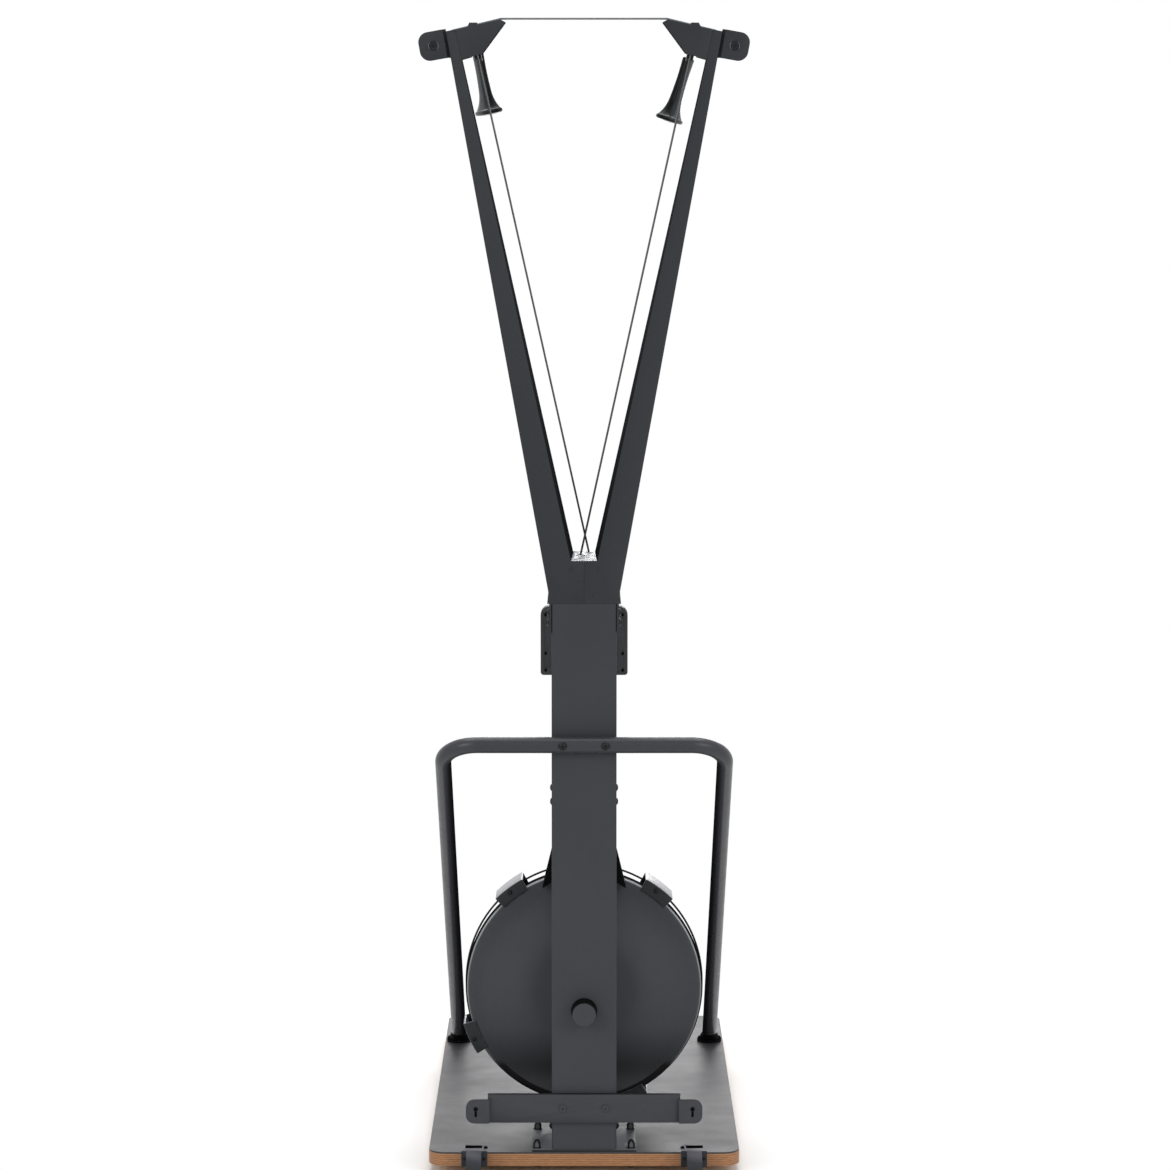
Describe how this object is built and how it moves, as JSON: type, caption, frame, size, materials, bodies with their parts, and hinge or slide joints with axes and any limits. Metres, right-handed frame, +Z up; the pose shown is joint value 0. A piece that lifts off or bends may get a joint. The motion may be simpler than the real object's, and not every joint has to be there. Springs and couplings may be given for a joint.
{
  "type": "ski trainer machine",
  "caption": "Standing ski trainer with a Y-shaped mast, pull cords over head sheaves, an air fan with a damper, a stay bar, a console and a wooden platform.",
  "frame": {"origin": "on the floor under the middle of the machine's bounding box", "axes": "+Z up, +Y forward from the wall side to the user's side, +X to the right seen from the wall side"},
  "size_m": [0.6212, 1.3312, 2.2127],
  "materials": {
    "plywood": "clear-coated birch plywood with a visible ply edge",
    "mat": "fine-textured mat with a soft sheen",
    "rubber": "matt moulded rubber",
    "column_paint": "charcoal powder coat, satin",
    "fork_paint": "darker charcoal powder coat, satin",
    "black_plastic": "moulded black plastic with a fine texture",
    "grip": "smooth glossy moulding",
    "pale_guide": "pale low-friction plastic",
    "cord": "round braided cord",
    "dark_steel": "black oxide steel",
    "steel": "brushed",
    "screen": "dark glossy display window"
  },
  "bodies": {
    "root": {"deck_board": "plywood", "deck_mat": "mat", "foot_rear_left": "rubber", "foot_rear_right": "rubber", "foot_front_left": "rubber", "foot_front_right": "rubber", "base_plate": "column_paint", "column": "column_paint", "stay_bar": "column_paint", "lower_wall_bar": "column_paint", "fan_rear_cover": "column_paint", "shaft_cap": "column_paint", "arm_left": "fork_paint", "arm_right": "fork_paint", "head_left": "fork_paint", "head_right": "fork_paint", "wall_tab_left": "fork_paint", "wall_tab_right": "fork_paint", "wheel_bracket_left": "fork_paint", "wheel_bracket_right": "fork_paint", "stay_foot_left": "black_plastic", "stay_foot_right": "black_plastic", "fan_front_cover": "black_plastic", "guard_clip_1": "black_plastic", "guard_clip_2": "black_plastic", "guard_clip_3": "black_plastic", "guard_clip_4": "black_plastic", "fan_neck": "black_plastic", "cord_block": "black_plastic", "console_bracket": "black_plastic", "guide_plate": "pale_guide", "drive_cord_left": "cord", "drive_cord_right": "cord", "cross_cord": "cord", "stay_bolt_left": "dark_steel", "stay_bolt_right": "dark_steel", "fan_guard": "dark_steel", "fork_bolt_upper": "dark_steel", "fork_bolt_lower": "dark_steel", "block_bolt_upper": "dark_steel", "block_bolt_lower": "dark_steel", "base_bolt": "dark_steel", "bearing_rear": "steel", "bearing_front": "steel"},
    "flywheel": {"fan_wheel": "steel", "fan_shaft": "steel"},
    "drum_left": {"cord_drum_left": "black_plastic"},
    "drum_right": {"cord_drum_right": "black_plastic"},
    "sheave_left": {"head_sheave_left": "dark_steel"},
    "sheave_right": {"head_sheave_right": "dark_steel"},
    "handle_left": {"handle_left": "grip", "handle_cord_left": "cord"},
    "handle_right": {"handle_right": "grip", "handle_cord_right": "cord"},
    "wheel_left": {"transport_wheel_left": "rubber"},
    "wheel_right": {"transport_wheel_right": "rubber"},
    "console": {"console_case": "black_plastic", "console_screen": "screen"},
    "button": {"console_button": "rubber"},
    "damper": {"damper_ring": "dark_steel"}
  },
  "joints": [
    {"name": "fan_spin", "type": "hinge", "parent": "root", "child": "flywheel", "pos_m": [0, -0.34, 0.3213], "axis": [0, 1, 0], "continuous": true},
    {"name": "handle_left_pull", "type": "slide", "parent": "root", "child": "handle_left", "axis": [-0.065, 0.4603, -0.8854], "range_m": [0, 1.4], "stiffness_N_per_m": 12, "springref_m": -0.8, "deforming": ["handle_cord_left"]},
    {"name": "handle_right_pull", "type": "slide", "parent": "root", "child": "handle_right", "axis": [0.065, 0.4603, -0.8854], "range_m": [0, 1.4], "stiffness_N_per_m": 12, "springref_m": -0.8, "deforming": ["handle_cord_right"]},
    {"name": "drum_left_turn", "type": "hinge", "parent": "root", "child": "drum_left", "pos_m": [0, -0.43936, 0.3213], "axis": [0, 1, 0], "range_deg": [-2500, 1]},
    {"name": "drum_right_turn", "type": "hinge", "parent": "root", "child": "drum_right", "pos_m": [0, -0.48936, 0.3213], "axis": [0, 1, 0], "range_deg": [-2500, 1]},
    {"name": "sheave_left_turn", "type": "hinge", "parent": "root", "child": "sheave_left", "pos_m": [-0.206, -0.52136, 2.1659], "axis": [0.9767, 0, 0.2147], "range_deg": [-2560, 1]},
    {"name": "sheave_right_turn", "type": "hinge", "parent": "root", "child": "sheave_right", "pos_m": [0.206, -0.52136, 2.1659], "axis": [0.9767, 0, -0.2147], "range_deg": [-2560, 1]},
    {"name": "wheel_left_roll", "type": "hinge", "parent": "root", "child": "wheel_left", "pos_m": [-0.2115, -0.63566, 0.027], "axis": [1, 0, 0], "continuous": true},
    {"name": "wheel_right_roll", "type": "hinge", "parent": "root", "child": "wheel_right", "pos_m": [0.2115, -0.63566, 0.027], "axis": [1, 0, 0], "continuous": true},
    {"name": "console_tilt", "type": "hinge", "parent": "root", "child": "console", "pos_m": [0, -0.39236, 1.0109], "axis": [1, 0, 0], "range_deg": [-20, 20]},
    {"name": "console_press", "type": "slide", "parent": "console", "child": "button", "axis": [0, -1, 0], "range_m": [0, 0.002], "stiffness_N_per_m": 300},
    {"name": "damper_turn", "type": "hinge", "parent": "root", "child": "damper", "pos_m": [0, -0.294, 0.3213], "axis": [0, 1, 0], "range_deg": [0, 22.5]}
  ],
  "couplings": [
    {"joint": "drum_left_turn", "follows": "handle_left_pull", "rad_per_m": -30.96},
    {"joint": "sheave_left_turn", "follows": "handle_left_pull", "rad_per_m": -31.646},
    {"joint": "drum_right_turn", "follows": "handle_right_pull", "rad_per_m": -30.96},
    {"joint": "sheave_right_turn", "follows": "handle_right_pull", "rad_per_m": -31.646}
  ]
}
